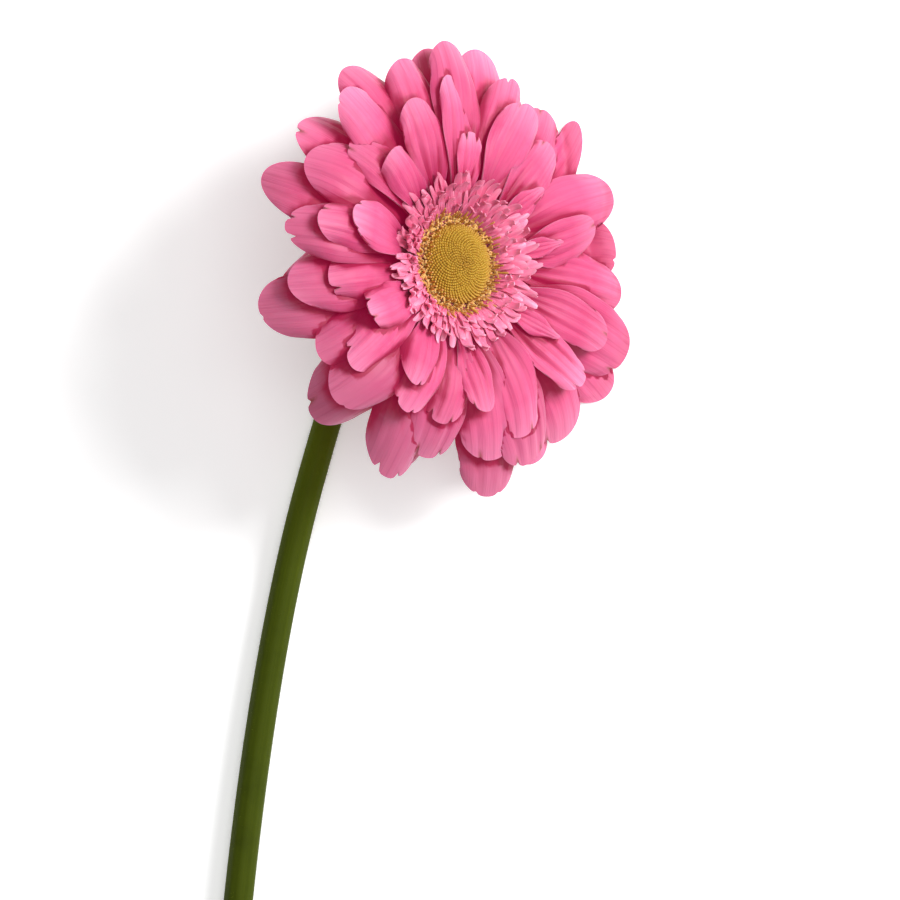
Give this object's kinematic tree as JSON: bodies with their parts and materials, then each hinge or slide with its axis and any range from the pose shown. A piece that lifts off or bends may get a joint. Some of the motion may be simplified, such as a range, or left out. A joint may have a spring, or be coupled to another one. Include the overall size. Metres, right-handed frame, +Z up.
{
  "type": "cut gerbera",
  "caption": "Cut gerbera lying on its side: a pink daisy-like flower head with layered petals and a yellow-green disc, on a bare curved green stem.",
  "frame": {"origin": "centre of the footprint, on the surface that the flower lies on", "axes": "+Z up; +Y along the lying stem, from its cut end towards the head; +X towards the side that the face of the flower leans to"},
  "size_m": [0.1084, 0.404, 0.06],
  "materials": {
    "ray_petals": "satin",
    "trans_petals": "satin",
    "disc_buds": "matte",
    "bracts": "matte",
    "stem_skin": "matte"
  },
  "bodies": {
    "root": {"ray_florets": "ray_petals", "trans_florets": "trans_petals", "disc_florets": "disc_buds", "involucre": "bracts", "stem": "stem_skin"}
  },
  "joints": []
}
